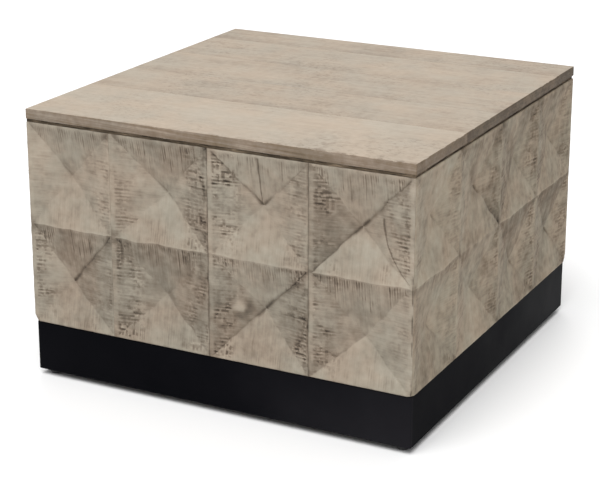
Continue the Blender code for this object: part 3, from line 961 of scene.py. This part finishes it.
chance = random.Random(5)
for side in SIDES:
    to_table = side_matrix(side)
    low, high = side_box(side, f"spacer_strip_{side}")
    steps = round(2 * cad_high.x / STRIP_STEP)
    points = []
    for step in range(steps + 1):
        share = 2.0 * step / steps - 1.0
        outer = STRIP_SETBACKS[side] + chance.uniform(0.0, STRIP_RAGGED)
        for depth, height in ((outer, low.z), (outer, high.z), (high.y, high.z), (high.y, low.z)):
            points.append(to_table @ Vector((share * (cad_high.x - depth - MITRE_GAP), depth, height)))
    faces = ring_faces(steps + 1, 4, "capped")
    strip = smooth_piece(f"stained_strip_{side}", points, faces, stained)
    dress(strip, "table", "spacer_black", f"spacer_strip_{side}")


# Top. Boards of pale limed hardwood, glued edge to edge along the front, sanded flat and worn round the
# rim. The front and back edges show long grain, the two ends darker end grain.
BOARD_TONES = (-0.105, 0.02, 0.015, 0.01, 0.06)
BOARD_SHARP = 0.7
RIM_EASE = 0.0016
RIM_STEP = 0.007
RIM_WEAR = 0.0005
RIM_REACH = 0.0025
CLOSE = 1e-4
FACING = 0.6
LONG_EDGE, END_GRAIN = 1.0, 2.0
NO_SEAM = 1.0

top_wood, web = new_finish("limed_top_wood", roughness=0.6, specular=0.2)
place = web.place()
x, y, z = web.split(place)
board_shift = web.times(web.attribute("board", 2), 5.3)
board_place = web.join(x, web.plus(y, board_shift), z)
edge_kind = web.attribute("edge_kind", 2)
end_grain = web.above(edge_kind, END_GRAIN - 0.5)
long_edge = web.minus(web.above(edge_kind, LONG_EDGE - 0.5), end_grain)
flat_face = web.minus(web.rest_of(end_grain), long_edge)


def along_grain(length, width, detail=2.0, roughness=0.5):
    """Noise drawn out along the boards: length and width are the size of a mark, in metres."""
    vector = web.stretched(board_place, 1.0 / length, 1.0 / width, 1.0 / width)
    return web.noise(vector, 1.0, detail, roughness)


fibre = along_grain(0.070, 0.0022)
mottle = web.noise(board_place, 75.0, 3.0, 0.6)
worn_through = web.ramp(web.noise(place, 62.0, 3.0), 0.46, 0.64)
front_right = web.times(web.ramp(x, 0.02, 0.20), web.ramp(y, -0.20, -0.30), flat_face)
fleck_patches = web.plus(web.noise(place, 7.0), web.times(front_right, 0.16))
fleck_patches = web.ramp(fleck_patches, 0.42, 0.66, 0.05, 1.0)
flecks = web.times(web.ramp(along_grain(0.0085, 0.0030, 1.0), 0.58, 0.68), fleck_patches, flat_face)
light_flecks = web.ramp(web.noise(board_place, 210.0, 1.0), 0.60, 0.72)
light_flecks = web.times(light_flecks, fleck_patches, flat_face)
slanted = web.join(x, y, web.plus(z, web.times(x, 0.03)))
edge_streaks = web.noise(web.stretched(slanted, 7.0, 7.0, 330.0), 1.0, 3.0)
stain_length = web.noise(web.join(web.times(x, 6.0), board_shift, 0.0))
stain_length = web.ramp(stain_length, 0.35, 0.65, 0.2, 1.0)
seam_stain = web.times(web.ramp(web.attribute("to_front", 2), 0.045, 0.0), stain_length, flat_face)
from_front = web.plus(y, cad_high.y)
rim_wear = web.times(web.ramp(from_front, 0.014, 0.0), web.ramp(mottle, 0.40, 0.62), flat_face)
tone = web.plus(
    0.265,
    web.centred(along_grain(0.26, 0.016, 4.0, 0.6), 0.22),
    web.centred(along_grain(0.42, 0.045), 0.22),
    web.centred(fibre, 0.16),
    web.centred(mottle, 0.36),
    web.swing(place, 0.14, 11.0),
    web.times(flecks, 0.20),
    web.times(light_flecks, -0.08),
    web.attribute("board_tone", 2),
    web.times(seam_stain, 0.095),
    web.times(front_right, web.plus(0.03, web.times(worn_through, 0.15))),
    web.times(rim_wear, 0.20),
    web.times(long_edge, web.plus(0.50, web.centred(edge_streaks, 0.60))),
    web.times(end_grain, web.plus(0.63, web.centred(edge_streaks, 0.3))),
)
limed_colours = [
    (0.0, (0.490, 0.416, 0.332)),
    (0.30, (0.408, 0.344, 0.272)),
    (0.62, (0.232, 0.183, 0.138)),
    (0.76, (0.186, 0.137, 0.091)),
    (1.0, (0.088, 0.063, 0.040)),
]
rosy = web.ramp(web.noise(board_place, 10.0, 3.0, 0.6), 0.3, 0.7)
rosy_tint = web.colours(rosy, [(0.0, (0.868, 0.890, 0.904)), (1.0, (0.914, 0.883, 0.864))])
relief = web.plus(fibre, web.times(mottle, 0.5), web.times(flecks, -0.8))
web.finish(
    web.tint(web.colours(tone, limed_colours), rosy_tint),
    web.ramp(fibre, 0.3, 0.7, 0.55, 0.70),
    web.bump(relief, 0.0003, 0.5),
)


def close(first, second):
    return abs(first - second) < CLOSE


def keep_numbers(mesh, name, domain, numbers):
    mesh.attributes.new(name, "FLOAT", domain).data.foreach_set("value", numbers)


def board_shape(low, high):
    """A board cut into a grid, with the edges that lie on the top's rim eased."""
    shape = bmesh.new()
    bmesh.ops.create_cube(shape, size=1.0)
    for vertex in shape.verts:
        vertex.co = (low + high) / 2 + vertex.co * (high - low)
    for axis in range(2):
        across = [0.0, 0.0, 0.0]
        across[axis] = 1.0
        cuts = round((high[axis] - low[axis]) / RIM_STEP)
        for step in range(1, cuts):
            at = low.copy()
            at[axis] = low[axis] + (high[axis] - low[axis]) * step / cuts
            whole = shape.verts[:] + shape.edges[:] + shape.faces[:]
            bmesh.ops.bisect_plane(shape, geom=whole, plane_co=at, plane_no=across)
    rim_edges = []
    for edge in shape.edges:
        first, second = edge.verts[0].co, edge.verts[1].co
        at_end = close(abs(first.x), cad_high.x) and close(first.x, second.x)
        at_long_side = close(abs(first.y), cad_high.y) and close(first.y, second.y)
        level = (close(first.z, low.z) or close(first.z, high.z)) and close(first.z, second.z)
        if (at_end and at_long_side) or (level and (at_end or at_long_side)):
            rim_edges.append(edge)
    bmesh.ops.bevel(shape, geom=rim_edges, offset=RIM_EASE, segments=3, profile=0.5, affect="EDGES")
    bmesh.ops.recalc_face_normals(shape, faces=shape.faces)
    return shape


def wear_rim(shape, low, high):
    """Moves each point near the top's rim inward by a chance of its own."""
    for vertex in shape.verts:
        in_x = cad_high.x - abs(vertex.co.x)
        in_y = cad_high.y - abs(vertex.co.y)
        in_z = min(vertex.co.z - low.z, high.z - vertex.co.z)
        if in_z < RIM_REACH and min(in_x, in_y) < RIM_REACH:
            wear = RIM_WEAR * chance.random() ** 2
            for axis, inward in enumerate((in_x, in_y)):
                if inward < RIM_REACH:
                    vertex.co[axis] -= math.copysign(wear * (1 - inward / RIM_REACH), vertex.co[axis])
            to_middle = (low.z + high.z) / 2 - vertex.co.z
            vertex.co.z += math.copysign(wear * (1 - in_z / RIM_REACH), to_middle) * 0.5


chance = random.Random(23)
for number, board_tone in enumerate(BOARD_TONES, 1):
    node = f"top_board_{number}"
    low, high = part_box(node)
    shape = board_shape(low, high)
    wear_rim(shape, low, high)
    mesh = bpy.data.meshes.new(f"limed_{node}")
    shape.to_mesh(mesh)
    shape.free()
    shade(mesh, BOARD_SHARP)
    normals = [face.normal for face in mesh.polygons]
    kinds = [END_GRAIN if abs(way.x) > FACING else LONG_EDGE * (abs(way.y) > FACING) for way in normals]
    keep_numbers(mesh, "edge_kind", "FACE", kinds)
    keep_numbers(mesh, "board", "FACE", [float(number)] * len(normals))
    keep_numbers(mesh, "board_tone", "FACE", [board_tone] * len(normals))
    fronts = [vertex.co.y - low.y if number > 1 else NO_SEAM for vertex in mesh.vertices]
    keep_numbers(mesh, "to_front", "POINT", fronts)
    mesh.materials.append(top_wood)
    dress(in_scene(f"limed_{node}", mesh), "table", "limed_top", node)


# Room. A plain pale floor and a white backdrop, a large soft key light high in front, a weak one behind,
# soft fill all round, and a long lens at the photograph's viewing angle.
FLOOR_REACH = 40.0
CAMERA_PLACE = (1.4553, -2.8563, 1.3116)
CAMERA_AZIMUTH = 27.419
CAMERA_ELEVATION = 17.05
CAMERA_LENS = 105.82
CAMERA_SENSOR = 36.0
CAMERA_SHIFT_UP = -0.1033
SOFTBOXES = {
    "key_softbox": {"azimuth": 8.0, "elevation": 60.0, "spread": 50.0, "strength": 2.82},
    "back_softbox": {"azimuth": 196.0, "elevation": 48.0, "spread": 40.0, "strength": 0.7},
}
FILL_STRENGTH = 0.47
BACKDROP_STRENGTH = 1.0


def facing(azimuth, elevation):
    """The turn of a light or camera that faces the table. Azimuth goes from the front toward the right."""
    azimuth, elevation = math.radians(azimuth), math.radians(elevation)
    level = math.cos(elevation)
    toward = Vector((math.sin(azimuth) * level, -math.cos(azimuth) * level, math.sin(elevation)))
    return toward.to_track_quat("Z", "Y").to_euler()


floor_paint, web = new_finish("pale_floor", roughness=0.9, specular=0.1)
pale = web.noise(web.place(), 0.7)
web.finish(web.colours(pale, [(0.2, (0.86, 0.86, 0.86)), (0.8, (0.89, 0.89, 0.89))]))
signs = ((-1, -1), (1, -1), (1, 1), (-1, 1))
mesh = bpy.data.meshes.new("floor")
mesh.from_pydata([(x * FLOOR_REACH, y * FLOOR_REACH, 0.0) for x, y in signs], [], [(0, 1, 2, 3)])
mesh.materials.append(floor_paint)
floor = in_scene("floor", mesh)
floor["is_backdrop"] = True

world = bpy.data.worlds.new("soft_room")
world.use_nodes = True
backdrop = world.node_tree.nodes["Background"]
backdrop.inputs["Color"].default_value = (1.0, 1.0, 1.0, 1.0)
web = Web(world.node_tree)
seen_directly = web.add("ShaderNodeLightPath")
web.wire(web.pick(seen_directly, FILL_STRENGTH, BACKDROP_STRENGTH), backdrop.inputs["Strength"])
bpy.context.scene.world = world

for name, softbox in SOFTBOXES.items():
    light_data = bpy.data.lights.new(name, "SUN")
    light_data.angle = math.radians(softbox["spread"])
    light_data.energy = softbox["strength"]
    in_scene(name, light_data).rotation_euler = facing(softbox["azimuth"], softbox["elevation"])

camera_data = bpy.data.cameras.new("camera")
camera_data.lens = CAMERA_LENS
camera_data.sensor_width = CAMERA_SENSOR
camera_data.shift_y = CAMERA_SHIFT_UP
camera = in_scene("camera", camera_data)
camera.location = CAMERA_PLACE
camera.rotation_euler = facing(CAMERA_AZIMUTH, CAMERA_ELEVATION)
bpy.context.scene.camera = camera
bpy.context.scene.view_settings.view_transform = "Standard"

seen_low, seen_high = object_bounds()
sizes = {"cad": [list(cad_low), list(cad_high)], "visual": [list(seen_low), list(seen_high)]}
